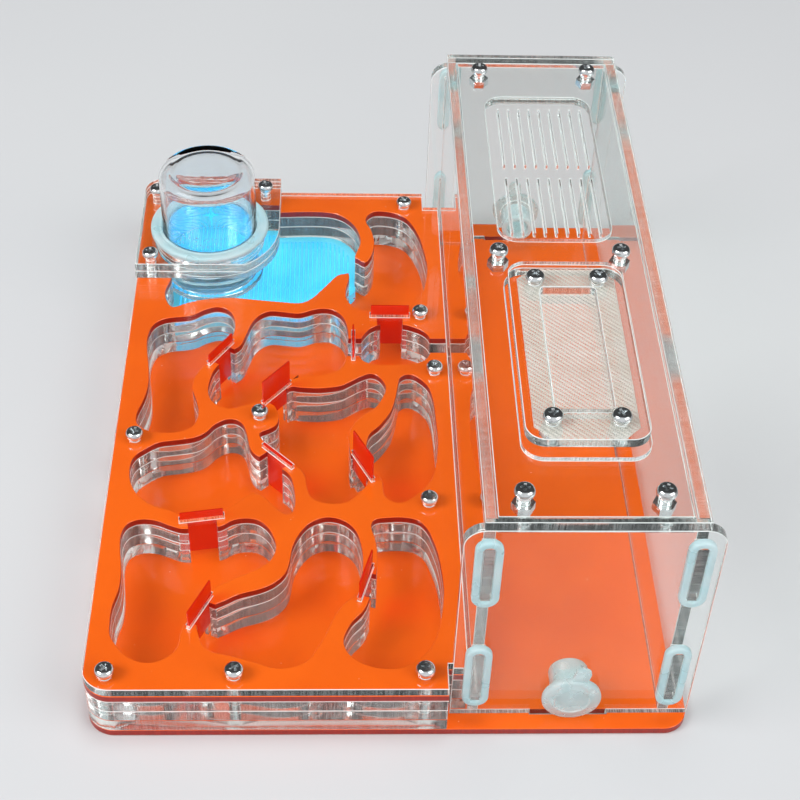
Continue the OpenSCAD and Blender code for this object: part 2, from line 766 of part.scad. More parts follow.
module lid_outer_plate() {
    slit_middle = box_front + slit_mid_y;
    color(clear_colour) place() difference() {
        translate([box_x, box_front, box_h]) cube([box_w, box_d, lid_t]);
        for (i = [0:slit_n - 1]) {
            x = box_mid_x + (i - (slit_n - 1) / 2) * slit_pitch - slit_w / 2;
            translate([x, slit_middle + slit_row_gap / 2, box_h - cut])
                cube([slit_w, slit_rear_len, lid_t + 2 * cut]);
            translate([x, slit_middle - slit_row_gap / 2 - slit_front_len, box_h - cut])
                cube([slit_w, slit_front_len, lid_t + 2 * cut]);
        }
        translate([box_mid_x, front_window, box_h - cut])
            round_plate(vent_w, vent_len, lid_t + 2 * cut, vent_r);
        holes_at(concat(lid_screw_at, mesh_screw_at), box_h, lid_t);
    }
}

module lid_inner_plate() {
    margin = sheet_t + lid_gap;
    color(clear_colour) place() difference() {
        translate([box_x + margin, box_front + margin, box_h - inner_t])
            cube([box_w - 2 * margin, box_d - 2 * margin, inner_t]);
        for (y = [front_window, rear_window]) {
            translate([box_mid_x, y, box_h - inner_t - cut])
                round_plate(window_w, window_len, inner_t + 2 * cut, window_r);
        }
        holes_at(lid_screw_at, box_h - inner_t, inner_t);
    }
}

module lid_screws() {
    color("silver") place()
        screws_at(lid_screw_at, lid_top, lid_t + inner_t + nut_t + screw_over);
}

module lid_nuts() {
    color("silver") place() nuts_at(lid_screw_at, box_h - inner_t - nut_t);
}

module vent_mesh() {
    w = mesh_w / 2;
    d = mesh_len / 2;
    c = mesh_cut;
    color("gainsboro") place() difference() {
        translate([box_mid_x, front_window, lid_top]) linear_extrude(mesh_t)
            polygon([[c - w, -d], [w - c, -d], [w, c - d], [w, d - c], [w - c, d], [c - w, d],
                [-w, d - c], [-w, c - d]]);
        holes_at(mesh_screw_at, lid_top, mesh_t);
    }
}

module mesh_clamp() {
    color(clear_colour) place() difference() {
        translate([box_mid_x, front_window, clamp_z]) difference() {
            round_plate(clamp_w, clamp_len, clamp_t, clamp_r);
            translate([0, 0, -cut]) round_plate(vent_w, vent_len, clamp_t + 2 * cut, vent_r);
        }
        holes_at(mesh_screw_at, clamp_z, clamp_t);
    }
}

module mesh_screws() {
    color("silver") place() screws_at(mesh_screw_at, clamp_z + clamp_t,
        clamp_t + mesh_t + lid_t + nut_t + screw_over);
}

module mesh_nuts() {
    color("silver") place() nuts_at(mesh_screw_at, box_h - nut_t);
}

base_plate();
chamber_layer_1();
chamber_layer_2();
chamber_layer_3();
mask_plate();
nest_cover();
moisture_plate();
gate(0);  // gate_1
gate(1);  // gate_2
gate(2);  // gate_3
gate(3);  // gate_4
gate(4);  // gate_5
gate(5);  // gate_6
gate(6);  // gate_7
gate(7);  // gate_8
gate(8);  // gate_9
nest_screws();
nest_nuts();
adapter_lower();
adapter_upper();
adapter_screws();
adapter_nuts();
cup_gasket();
water_cup();
wall_left();
wall_right();
end_plate_front();
end_plate_rear();
sleeve_front(-1, tab_heights[0]);  // sleeve_front_1
sleeve_front(-1, tab_heights[1]);  // sleeve_front_2
sleeve_front(1, tab_heights[0]);  // sleeve_front_3
sleeve_front(1, tab_heights[1]);  // sleeve_front_4
sleeve_rear(-1, tab_heights[0]);  // sleeve_rear_1
sleeve_rear(-1, tab_heights[1]);  // sleeve_rear_2
sleeve_rear(1, tab_heights[0]);  // sleeve_rear_3
sleeve_rear(1, tab_heights[1]);  // sleeve_rear_4
plug_front();
plug_rear();
lid_outer_plate();
lid_inner_plate();
lid_screws();
lid_nuts();
vent_mesh();
mesh_clamp();
mesh_screws();
mesh_nuts();
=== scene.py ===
import math

import bmesh
import bpy
from mathutils import Matrix, Vector
from mathutils.geometry import tessellate_polygon


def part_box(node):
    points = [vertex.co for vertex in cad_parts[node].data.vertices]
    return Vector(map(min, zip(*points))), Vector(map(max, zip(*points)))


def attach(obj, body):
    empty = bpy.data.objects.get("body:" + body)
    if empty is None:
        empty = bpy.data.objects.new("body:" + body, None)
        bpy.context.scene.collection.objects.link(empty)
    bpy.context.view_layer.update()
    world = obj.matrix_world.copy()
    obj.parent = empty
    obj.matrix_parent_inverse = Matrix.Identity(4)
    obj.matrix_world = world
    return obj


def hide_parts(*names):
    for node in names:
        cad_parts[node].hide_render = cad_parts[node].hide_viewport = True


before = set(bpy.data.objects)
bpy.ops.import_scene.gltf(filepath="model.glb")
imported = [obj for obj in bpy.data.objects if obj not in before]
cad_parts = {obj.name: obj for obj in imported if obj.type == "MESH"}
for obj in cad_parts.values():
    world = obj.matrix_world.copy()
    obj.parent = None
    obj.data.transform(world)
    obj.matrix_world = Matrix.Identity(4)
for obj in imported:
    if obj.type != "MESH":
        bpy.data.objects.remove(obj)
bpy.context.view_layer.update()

# Ant habitat: sheets, fasteners, soft pieces and their finishes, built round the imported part.
# Sizes in the dictionaries are in millimetres, and mm turns them into metres.
mm = 0.001
print("frame loaded:", len(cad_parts), "nodes")


# Shader and geometry maths written as expressions

class Wire:
    # One output socket. Its operators add Math nodes to the tree it lives in.
    def __init__(self, board, socket):
        self.board, self.socket = board, socket

    def math(self, operation, *others, flip=False):
        parts = (*others, self) if flip else (self, *others)
        return self.board.add("ShaderNodeMath", {"operation": operation}, dict(enumerate(parts)))

    def __add__(self, other): return self.math("ADD", other)
    def __radd__(self, other): return self.math("ADD", other)
    def __sub__(self, other): return self.math("SUBTRACT", other)
    def __rsub__(self, other): return self.math("SUBTRACT", other, flip=True)
    def __mul__(self, other): return self.math("MULTIPLY", other)
    def __truediv__(self, other): return self.math("DIVIDE", other)
    def __gt__(self, other): return self.math("GREATER_THAN", other)
    def __abs__(self): return self.math("ABSOLUTE")

    # Smooth step from 0 to 1 as the value goes from low to high
    def ramp(self, low, high):
        return self.board.add("ShaderNodeMapRange", {"interpolation_type": "SMOOTHSTEP"},
                              {"Value": self, "From Min": low, "From Max": high})

    def part(self, i):
        return self.board.add("ShaderNodeSeparateXYZ", {}, {0: self}, i)


class Board:
    # A node tree that is filled through one method
    def __init__(self, tree):
        self.tree = tree

    def add(self, kind, settings=None, sockets=None, out=0):
        node = self.tree.nodes.new(kind)
        for key, value in (settings or {}).items():
            setattr(node, key, value)
        for key, value in (sockets or {}).items():
            socket = node.inputs[key]
            if isinstance(value, Wire):
                self.tree.links.new(value.socket, socket)
            elif socket.type == "RGBA" and len(value) == 3:
                socket.default_value = (*value, 1)
            else:
                socket.default_value = value
        return Wire(self, node.outputs[out]) if len(node.outputs) else None

    def mix(self, share, a, b):
        return self.add("ShaderNodeMix", {"data_type": "RGBA"}, {0: share, 6: a, 7: b}, 2)

    def place(self, scale=(1, 1, 1), turn=(0, 0, 0)):
        coords = self.add("ShaderNodeTexCoord", out="Object")
        return self.add("ShaderNodeMapping", {}, {
            "Vector": coords, "Scale": scale, "Rotation": turn})

    # Noise whose cells are about size millimetres, squashed along an axis by its stretch
    def noise(self, size, stretch=(1, 1, 1), detail=2.0, rough=0.5, turn=(0, 0, 0)):
        grid = self.place(tuple(s / (size * mm) for s in stretch), turn)
        return self.add("ShaderNodeTexNoise", {}, {
            "Vector": grid, "Scale": 1.0, "Detail": detail, "Roughness": rough})

    # 1 on cut edges, 0 on the polished faces of a sheet whose thickness lies along axis
    def cutEdge(self, axis):
        normal = self.add("ShaderNodeNewGeometry", out="Normal")
        return abs(normal.part(axis)).ramp(0.75, 0.35)

    # 1 on the small chamfers between them
    def cutRim(self, axis):
        lean = abs(self.add("ShaderNodeNewGeometry", out="Normal").part(axis))
        return lean.ramp(0.5, 0.62) * lean.ramp(0.92, 0.82)

    def bump(self, height, strength, distance=0.1):
        return self.add("ShaderNodeBump", {}, {
            "Height": height, "Strength": strength, "Distance": distance * mm})

    def principled(self, sockets):
        return self.add("ShaderNodeBsdfPrincipled", {}, sockets)

    # Clear shader that lets lamp light and bounced light straight through
    def clear(self, shader, tint):
        shadow = self.add("ShaderNodeLightPath", out="Is Shadow Ray")
        diffuse = self.add("ShaderNodeLightPath", out="Is Diffuse Ray")
        through = self.add("ShaderNodeBsdfTransparent", {}, {"Color": tint})
        share = shadow.math("MAXIMUM", diffuse)
        return self.add("ShaderNodeMixShader", {}, {0: share, 1: shader, 2: through})


def material(name, build):
    made = bpy.data.materials.new(name)
    made.use_nodes = True
    made.node_tree.nodes.clear()
    board = Board(made.node_tree)
    board.add("ShaderNodeOutputMaterial", {}, {"Surface": build(board)})
    return made


# Finishes. Colours are linear, and sizes of noise and depths are in millimetres.

acrylicLook = {
    "face": (0.97, 0.99, 0.985), "edge": (0.86, 0.955, 0.94), "shade": (0.985, 0.995, 0.99),
    "ior": 1.49, "shine": (0.5, 0.52, 0.52),
    "edgeRough": 0.10, "hazeRough": 0.02, "hairRough": 0.05, "frostRough": 0.3,
    "waveSize": 6, "hazeSize": 9, "hairSize": 0.5, "hairTurn": 0.6,
    "sawPitch": 0.24, "sawDepth": 0.22, "sawAlong": 0.03,
    "frostDark": (0.45, 0.50, 0.49), "frostPaleAndHighlight": (0.92, 0.97, 0.96),
    "frostShare": (0.09, 0.205), "rimHighlightShare": 0.7,
}


def clearSheet(axis):
    look = acrylicLook

    def build(b):
        edge, rim = b.cutEdge(axis), b.cutRim(axis)
        along = tuple(look["sawAlong"] if i == axis else 1 for i in range(3))
        saw = b.noise(look["sawPitch"], along, 1.0)
        waves = b.noise(look["waveSize"], along, 2.0)
        haze = b.noise(look["hazeSize"], detail=4.0, rough=0.6).ramp(0.5, 0.8)
        # fine hairlines on the polished faces
        hair = b.noise(look["hairSize"], (0.06, 1.4, 1), 2.0, turn=(0, 0, look["hairTurn"])).ramp(0.7, 0.8)
        cut = look["edgeRough"] * 0.6 + waves * look["edgeRough"]
        polished = haze * look["hazeRough"] + hair * look["hairRough"]
        relief = b.bump(edge * (saw * 0.7 + waves * 0.5), look["sawDepth"], 0.2)
        clear = b.principled({
            "Base Color": b.mix(edge * (0.55 + waves * 0.6), look["face"], look["edge"]),
            "Roughness": edge * cut + (1 - edge) * polished, "IOR": look["ior"],
            "Transmission Weight": 1.0, "Specular Tint": look["shine"], "Normal": relief})
        # the saw's marks frost the cut edges; the chamfers carry a painted highlight, a pale line of that
        # frost
        least, most = look["frostShare"]
        marks = saw.ramp(0.42, 0.62)
        frostedAndHighlight = b.principled({
            "Base Color": b.mix(marks.math("MAXIMUM", rim), look["frostDark"], look["frostPaleAndHighlight"]),
            "Roughness": look["frostRough"] + waves * 0.2, "IOR": look["ior"], "Normal": relief})
        # the rim share is the painted highlight on the chamfers
        share = edge * (least + marks * (most - least)) + rim * look["rimHighlightShare"]
        return b.clear(b.add("ShaderNodeMixShader", {}, {0: share, 1: clear, 2: frostedAndHighlight}), look["shade"])
    return build


orangeLook = {
    "face": (0.95, 0.135, 0.006), "deep": (0.84, 0.105, 0.004), "edge": (0.24, 0.005, 0.001),
    "glow": (0.46, 0.016, 0.001), "dust": (0.98, 0.62, 0.40), "ior": 1.49,
    "cloudSize": 28, "sawPitch": 0.6, "specksPerMetre": 420, "dustPatch": 2.1, "dustShare": 0.55,
    "rough": 0.16, "coat": 0.25, "coatRough": 0.05,
}


def orangeSheet(b):
    look = orangeLook
    edge = b.cutEdge(2)
    cloud = b.noise(look["cloudSize"], detail=3.0).ramp(0.35, 0.7)
    saw = b.noise(look["sawPitch"], (1, 1, 0.04), 1.0)
    face = b.mix(cloud * 0.6, look["face"], look["deep"])
    grid = b.place((look["specksPerMetre"],) * 3)
    specks = b.add("ShaderNodeTexVoronoi", {}, {"Vector": grid, "Scale": 1.0}, "Distance")
    rare = b.noise(look["dustPatch"], detail=1.0).ramp(0.62, 0.72)
    dust = specks.ramp(0.13, 0.05) * rare * (1 - edge)
    colour = b.mix(edge, face, b.mix(saw, look["edge"], look["glow"]))
    return b.principled({
        "Base Color": b.mix(dust * look["dustShare"], colour, look["dust"]),
        "Roughness": look["rough"] + cloud * 0.06 + edge * 0.14 + dust * 0.3, "IOR": look["ior"],
        "Coat Weight": (1 - edge) * look["coat"], "Coat Roughness": look["coatRough"],
        "Normal": b.bump(edge * saw + dust * 0.4, 0.25, 0.1)})


gateLook = {
    "body": (0.86, 0.030, 0.002), "rim": (0.62, 0.012, 0.001), "shade": (0.9, 0.2, 0.08),
    "ior": 1.49, "clear": 0.2, "rough": 0.08, "sawPitch": 0.5, "filmSize": 5,
}


def gateSheet(b):
    look = gateLook
    top = b.add("ShaderNodeNewGeometry", out="Normal").part(2).ramp(0.4, 0.9)
    saw = b.noise(look["sawPitch"], (1, 1, 0.1), 1.0)
    film = b.noise(look["filmSize"], detail=3.0)
    return b.clear(b.principled({
        "Base Color": b.mix(top * (0.6 + saw * 0.4), look["body"], look["rim"]),
        "Roughness": look["rough"] + film * 0.1 + top * 0.1, "IOR": look["ior"],
        "Transmission Weight": look["clear"],
        "Normal": b.bump(saw * 0.3 + film * 0.2, 0.1, 0.05)}), look["shade"])


steelLook = {
    "bright": (0.80, 0.82, 0.83), "dull": (0.56, 0.57, 0.57), "rough": 0.09,
    "stainSize": 1.3, "stainShare": 0.55, "grainSize": 0.12,
}


def plated(b):
    look = steelLook
    stain = b.noise(look["stainSize"], detail=4.0).ramp(0.45, 0.75)
    fine = b.noise(look["grainSize"], detail=2.0)
    return b.principled({
        "Base Color": b.mix(stain * look["stainShare"], look["bright"], look["dull"]), "Metallic": 1.0,
        "Roughness": look["rough"] + stain * 0.14 + fine * 0.05, "Normal": b.bump(fine, 0.06, 0.05)})


wireLook = {
    "bright": (0.80, 0.79, 0.76), "warm": (0.66, 0.62, 0.55), "metal": 0.35, "rough": 0.34,
    "patchSize": 7, "grainSize": 0.2,
}


def wireCloth(b):
    look = wireLook
    patch = b.noise(look["patchSize"], detail=3.0)
    grain = b.noise(look["grainSize"], detail=1.0)
    return b.principled({
        "Base Color": b.mix(patch, look["bright"], look["warm"]), "Metallic": look["metal"],
        "Roughness": look["rough"] + grain * 0.2, "Normal": b.bump(grain, 0.2, 0.03)})


siliconeLook = {
    "body": (0.58, 0.85, 0.90), "pale": (0.74, 0.93, 0.96), "clear": 0.35, "ior": 1.41, "rough": 0.22,
    "soft": 0.25, "softReach": 0.004, "cloudSize": 9, "skinSize": 0.35,
}


def silicone(b):
    look = siliconeLook
    cloud = b.noise(look["cloudSize"], detail=1.0)
    skin = b.noise(look["skinSize"], detail=2.0)
    return b.principled({
        "Base Color": b.mix(cloud.ramp(0.3, 0.75), look["body"], look["pale"]),
        "Roughness": look["rough"] + cloud * 0.14, "IOR": look["ior"], "Transmission Weight": look["clear"],
        "Subsurface Weight": look["soft"], "Subsurface Radius": (look["softReach"],) * 3,
        "Subsurface Scale": 1.0, "Normal": b.bump(skin, 0.04, 0.03)})


plugLook = {
    "body": (0.78, 0.89, 0.90), "core": (0.64, 0.80, 0.82), "shade": (0.72, 0.8, 0.8),
    "clear": 0.55, "ior": 1.46, "rough": 0.22, "cloudSize": 4, "skinSize": 0.5,
}


def plugPlastic(b):
    look = plugLook
    cloud = b.noise(look["cloudSize"], detail=2.0).ramp(0.35, 0.7)
    skin = b.noise(look["skinSize"], detail=2.0)
    return b.clear(b.principled({
        "Base Color": b.mix(cloud, look["body"], look["core"]), "Roughness": look["rough"] + cloud * 0.16,
        "IOR": look["ior"], "Transmission Weight": look["clear"],
        "Normal": b.bump(skin, 0.04, 0.04)}), look["shade"])


cupLook = {
    "wall": (0.965, 0.985, 0.99), "hazy": (0.9, 0.95, 0.97), "shade": (0.95, 0.97, 0.98),
    "ior": 1.45, "shine": (0.6, 0.62, 0.62), "flowSize": 9, "hazeSize": 4, "hazeRough": 0.05,
}


def cupPlastic(b):
    look = cupLook
    flow = b.noise(look["flowSize"], (1, 1, 0.5), 2.0)
    haze = b.noise(look["hazeSize"], (1, 1, 0.35), 3.0).ramp(0.45, 0.8)
    return b.clear(b.principled({
        "Base Color": b.mix(haze * 0.4, look["wall"], look["hazy"]),
        "Roughness": haze * look["hazeRough"], "IOR": look["ior"], "Transmission Weight": 1.0,
        "Specular Tint": look["shine"], "Normal": b.bump(flow, 0.25, 0.4)}), look["shade"])


dropLook = {"body": (0.97, 0.99, 1.0), "shade": (0.9, 0.95, 0.98), "ior": 1.33, "filmSize": 0.4}


def dropWater(b):
    look = dropLook
    film = b.noise(look["filmSize"], detail=1.0)
    return b.clear(b.principled({
        "Base Color": look["body"], "Roughness": film * 0.04, "IOR": look["ior"],
        "Transmission Weight": 1.0, "Normal": b.bump(film, 0.1, 0.05)}), look["shade"])


fillLook = {
    "body": (0.78, 0.965, 1.0), "deep": (0.70, 0.94, 1.0), "shade": (0.93, 0.99, 1.0), "ior": 1.33,
    "cloudSize": 6, "rippleSize": 3,
}


def cupFill(b):
    look = fillLook
    cloud = b.noise(look["cloudSize"], detail=1.0)
    ripple = b.noise(look["rippleSize"], detail=1.0)
    return b.clear(b.principled({
        "Base Color": b.mix(cloud, look["body"], look["deep"]), "Roughness": cloud * 0.02,
        "IOR": look["ior"], "Transmission Weight": 1.0,
        "Normal": b.bump(ripple, 0.05, 0.1)}), look["shade"])


padLook = {
    "top": (0.075, 0.66, 0.98), "pale": (0.16, 0.78, 1.0), "deep": (0.05, 0.48, 0.93),
    # the glow entries are painted light: an emission on the pad's top and down in its slits
    "glow": (0.05, 0.62, 1.0), "glowTop": 0.16, "glowDeep": 0.55, "glowFrom": 0.05, "glowTo": 0.6,
    "ior": 1.47, "rough": 0.32, "cloudSize": 14, "poreSize": 0.45,
}


def moistPad(b):
    look = padLook
    cloud = b.noise(look["cloudSize"], detail=3.0).ramp(0.3, 0.7)
    pores = b.noise(look["poreSize"], detail=2.0).ramp(0.66, 0.78)
    edge = b.cutEdge(2)
    colour = b.mix(cloud, look["top"], look["pale"])
    colour = b.mix((edge * 0.55 + pores * 0.35).math("MINIMUM", 1.0), colour, look["deep"])
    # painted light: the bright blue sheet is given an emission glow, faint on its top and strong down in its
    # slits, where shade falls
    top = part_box("moisture_plate")[1][2]
    below = top - b.add("ShaderNodeTexCoord", out="Object").part(2)
    depth = below.ramp(look["glowFrom"] * mm, look["glowTo"] * mm)
    glow = depth * (look["glowDeep"] - look["glowTop"]) + look["glowTop"]
    return b.principled({
        "Base Color": colour, "Roughness": look["rough"] + pores * 0.2, "IOR": look["ior"],
        "Emission Color": b.mix(glow, (0, 0, 0), look["glow"]), "Emission Strength": 1.0,
        "Normal": b.bump(1 - pores, 0.2, 0.1)})


floorLook = {
    "pale": (0.64, 0.65, 0.66), "dim": (0.61, 0.62, 0.635), "rough": 0.62,
    "cloudSize": 260, "grainSize": 1.2,
}


def paleFloor(b):
    look = floorLook
    cloud = b.noise(look["cloudSize"], detail=2.0)
    grain = b.noise(look["grainSize"], detail=2.0)
    return b.principled({
        "Base Color": b.mix(cloud.ramp(0.3, 0.8), look["pale"], look["dim"]),
        "Roughness": look["rough"] + grain * 0.1, "Normal": b.bump(grain, 0.03, 0.05)})


clearFlat = material("acrylicFlat", clearSheet(2))
clearSide = material("acrylicSide", clearSheet(0))
clearFront = material("acrylicFront", clearSheet(1))
orange = material("orangeAcrylic", orangeSheet)
gateRed = material("gateAcrylic", gateSheet)
steel = material("platedSteel", plated)
cloth = material("wireCloth", wireCloth)
softWhite = material("silicone", silicone)
plugWhite = material("plugPlastic", plugPlastic)
cupClear = material("cupPlastic", cupPlastic)
water = material("dropWater", dropWater)
fillClear = material("cupWater", cupFill)
padBlue = material("moistPad", moistPad)
print("finishes made")


# Shapes

def addMesh(name, points, faces, look, smoothAngle=35):
    mesh = bpy.data.meshes.new(name)
    mesh.from_pydata([tuple(p) for p in points], [], faces)
    work = bmesh.new()
    work.from_mesh(mesh)
    bmesh.ops.remove_doubles(work, verts=work.verts, dist=1e-7)
    bmesh.ops.recalc_face_normals(work, faces=work.faces)
    work.to_mesh(mesh)
    work.free()
    mesh.shade_smooth()
    mesh.set_sharp_from_angle(angle=math.radians(smoothAngle))
    mesh.materials.append(look)
    piece = bpy.data.objects.new(name, mesh)
    bpy.context.collection.objects.link(piece)
    return piece


def dress(piece, body, slot, *nodes):
    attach(piece, body)
    if nodes:
        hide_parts(*nodes)
    return piece


# Closed outlines of a flat node's face on the high side of axis, outer ones anticlockwise
def faceLoops(node, axis):
    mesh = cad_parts[node].data
    u, v = [(1, 2), (2, 0), (0, 1)][axis]
    high = max(p.co[axis] for p in mesh.vertices)
    low = min(p.co[axis] for p in mesh.vertices)
    following = {}
    sides = set()
    at = {}

    def key(i):
        co = mesh.vertices[i].co
        k = (round(co[u] * 1e6), round(co[v] * 1e6))
        at.setdefault(k, (co[u], co[v]))
        return k
    for face in mesh.polygons:
        if all(abs(mesh.vertices[i].co[axis] - high) < 2e-6 for i in face.vertices):
            ring = [key(i) for i in face.vertices]
            for a, c in zip(ring, ring[1:] + ring[:1]):
                if a != c:
                    sides.add((a, c))
    for a, c in sides:
        if (c, a) not in sides:
            following.setdefault(a, []).append(c)
    loops = []
    while following:
        start = next(iter(following))
        loop, here = [], start
        while True:
            loop.append(here)
            after = following[here].pop()
            if not following[here]:
                del following[here]
            here = after
            if here == start:
                break
        loops.append([at[k] for k in loop])
    return loops, low, high


def tidyLoop(loop, least=2e-5):
    kept = []
    for p in loop:
        if not kept or math.dist(p, kept[-1]) > least:
            kept.append(p)
    while math.dist(kept[0], kept[-1]) <= least:
        kept.pop()
    # points in the middle of a straight run are dropped
    n = len(kept)
    bent = []
    for i in range(n):
        a, c, e = kept[i - 1], kept[i], kept[(i + 1) % n]
        cross = (c[0] - a[0]) * (e[1] - c[1]) - (c[1] - a[1]) * (e[0] - c[0])
        if abs(cross) > 1e-4 * math.dist(a, c) * math.dist(c, e):
            bent.append(c)
    return bent


# Rounds a loop where it bends gently, by a curve through its points, and leaves its real corners.
# gentle is in degrees and longest in metres.
def roundLoop(loop, gentle=24, steps=3, longest=0.004):
    n = len(loop)

    # degrees that the loop turns at a point
    def bend(i):
        a, c, e = loop[i - 1], loop[i % n], loop[(i + 1) % n]
        d = math.atan2(e[1] - c[1], e[0] - c[0]) - math.atan2(c[1] - a[1], c[0] - a[0])
        return abs(math.degrees((d + math.pi) % (2 * math.pi) - math.pi))
    out = []
    for i in range(n):
        a, c, e, g = loop[i - 1], loop[i], loop[(i + 1) % n], loop[(i + 2) % n]
        out.append(c)
        span = math.dist(c, e)
        if span > longest or bend(i) > gentle or bend((i + 1) % n) > gentle:
            continue
        # a long straight side next to an arc counts as one step of the arc
        near, far = min(1, span / math.dist(a, c)), min(1, span / math.dist(e, g))
        a = tuple(c[j] + (a[j] - c[j]) * near for j in (0, 1))
        g = tuple(e[j] + (g[j] - e[j]) * far for j in (0, 1))
        for k in range(1, steps):
            t = k / steps
            out.append(tuple(c[j] + t / 2 * (e[j] - a[j] + t * (2 * a[j] - 5 * c[j] + 4 * e[j] - g[j]
                       + t * (3 * (c[j] - e[j]) + g[j] - a[j]))) for j in (0, 1)))
    return out


# The loop moved inwards, to its left, by d
def shiftLoop(loop, d):
    out = []
    n = len(loop)
    for i in range(n):
        a, c, e = Vector(loop[i - 1]), Vector(loop[i]), Vector(loop[(i + 1) % n])
        first, second = (c - a).normalized(), (e - c).normalized()
        n1, n2 = Vector((-first.y, first.x)), Vector((-second.y, second.x))
        mitre = max(1 + n1.dot(n2), 0.35)
        out.append(tuple(c + d * (n1 + n2) / mitre))
    return out


sheetShape = {"chamfer": 0.18, "airGap": 0.03}


# A sheet made anew from a flat node's outlines, with small chamfers and a hair of air round it
def sheet(node, axis, look, body, slot):
    c, gap = sheetShape["chamfer"] * mm, sheetShape["airGap"] * mm
    loops, low, high = faceLoops(node, axis)
    loops = [roundLoop(tidyLoop(loop)) for loop in loops]
    rings = [(low + gap, gap + c), (low + gap + c, gap), (high - gap - c, gap), (high - gap, gap + c)]
    points, faces, starts = [], [], []
    for at, inset in rings:
        starts.append([])
        for loop in loops:
            starts[-1].append(len(points))
            for p in shiftLoop(loop, inset):
                q = [0, 0, 0]
                q[axis], q[(axis + 1) % 3], q[(axis + 2) % 3] = at, p[0], p[1]
                points.append(q)
    for level in range(3):
        for j, loop in enumerate(loops):
            n, a, b = len(loop), starts[level][j], starts[level + 1][j]
            for i in range(n):
                k = (i + 1) % n
                faces.append((a + i, a + k, b + k, b + i))
    flat = [[Vector((*p, 0)) for p in shiftLoop(loop, gap + c)] for loop in loops]
    for tri in tessellate_polygon(flat):
        faces.append(tuple(starts[3][0] + i for i in tri))
        faces.append(tuple(starts[0][0] + i for i in reversed(tri)))
    dress(addMesh(node + "_sheet", points, faces, look, 40), body, slot, node)


# A closed ring of profile points (radius, height) turned about a line parallel to an axis
def turned(name, profile, centre, look, steps=96, axis=2, smoothAngle=32):
    points, faces = [], []
    n = len(profile)
    for s in range(steps):
        t = 2 * math.pi * s / steps
        for r, h in profile:
            q = [0, 0, 0]
            q[(axis + 1) % 3] = centre[(axis + 1) % 3] + r * mm * math.cos(t)
            q[(axis + 2) % 3] = centre[(axis + 2) % 3] + r * mm * math.sin(t)
            q[axis] = centre[axis] + h * mm
            points.append(q)
    for s in range(steps):
        a, b = s * n, (s + 1) % steps * n
        for i in range(n):
            k = (i + 1) % n
            if profile[i][0] == 0 and profile[k][0] == 0:
                continue
            faces.append((a + i, b + i, b + k, a + k))
    return addMesh(name, points, faces, look, smoothAngle)


# Profile points along an arc, its ends in degrees
def arc(r0, h0, radius, start, end, steps):
    turns = [math.radians(start + (end - start) * i / steps) for i in range(steps + 1)]
    return [(r0 + radius * math.cos(t), h0 + radius * math.sin(t)) for t in turns]


# Geometry Nodes: a tree with named inputs, run once on a carrier and kept as a plain mesh

socketKinds = {float: "NodeSocketFloat", int: "NodeSocketInt"}


def growTree(name, inputs, build):
    tree = bpy.data.node_groups.new(name, "GeometryNodeTree")
    tree.interface.new_socket("Geometry", in_out="INPUT", socket_type="NodeSocketGeometry")
    for key, value in inputs.items():
        kind = socketKinds.get(type(value)) or (
            "NodeSocketMaterial" if isinstance(value, bpy.types.Material) else "NodeSocketObject")
        tree.interface.new_socket(key, in_out="INPUT", socket_type=kind)
    tree.interface.new_socket("Geometry", in_out="OUTPUT", socket_type="NodeSocketGeometry")
    board = Board(tree)
    entry = tree.nodes.new("NodeGroupInput")
    given = {socket.name: Wire(board, socket) for socket in entry.outputs if socket.name}
    grown = build(board, given)
    solid = board.add("GeometryNodeRealizeInstances", {}, {0: grown})
    painted = board.add("GeometryNodeSetMaterial", {}, {"Geometry": solid, "Material": given["Material"]})
    board.add("NodeGroupOutput", {}, {0: painted})
    return tree


def grow(name, tree, carrier, inputs, smoothAngle=35):
    holder = bpy.data.objects.new(name + "Carrier", carrier)
    bpy.context.collection.objects.link(holder)
    run = holder.modifiers.new("grow", "NODES")
    run.node_group = tree
    for item in tree.interface.items_tree:
        if item.in_out == "INPUT" and item.name in inputs:
            run[item.identifier] = inputs[item.name]
    bpy.context.view_layer.update()
    seen = holder.evaluated_get(bpy.context.evaluated_depsgraph_get())
    mesh = bpy.data.meshes.new_from_object(seen)
    holder.modifiers.remove(run)
    bpy.data.objects.remove(holder)
    mesh.name = name
    mesh.shade_smooth()
    mesh.set_sharp_from_angle(angle=math.radians(smoothAngle))
    piece = bpy.data.objects.new(name, mesh)
    bpy.context.collection.objects.link(piece)
    return piece


def dots(name, points):
    mesh = bpy.data.meshes.new(name)
    mesh.from_pydata([tuple(p) for p in points], [], [])
    return mesh


# Screws: a lathe-turned pan head with a cross recess, and a rolled thread on the shank

screwShape = {
    "headDiameter": 5.6, "headHeight": 2.2, "shankDiameter": 2.9, "pitch": 0.5, "threadDepth": 0.26,
    "recessSpan": 3.1, "recessWidth": 0.85, "recessDepth": 1.5,
    "recessEndSpan": 0.38, "recessEndWidth": 0.62,
}


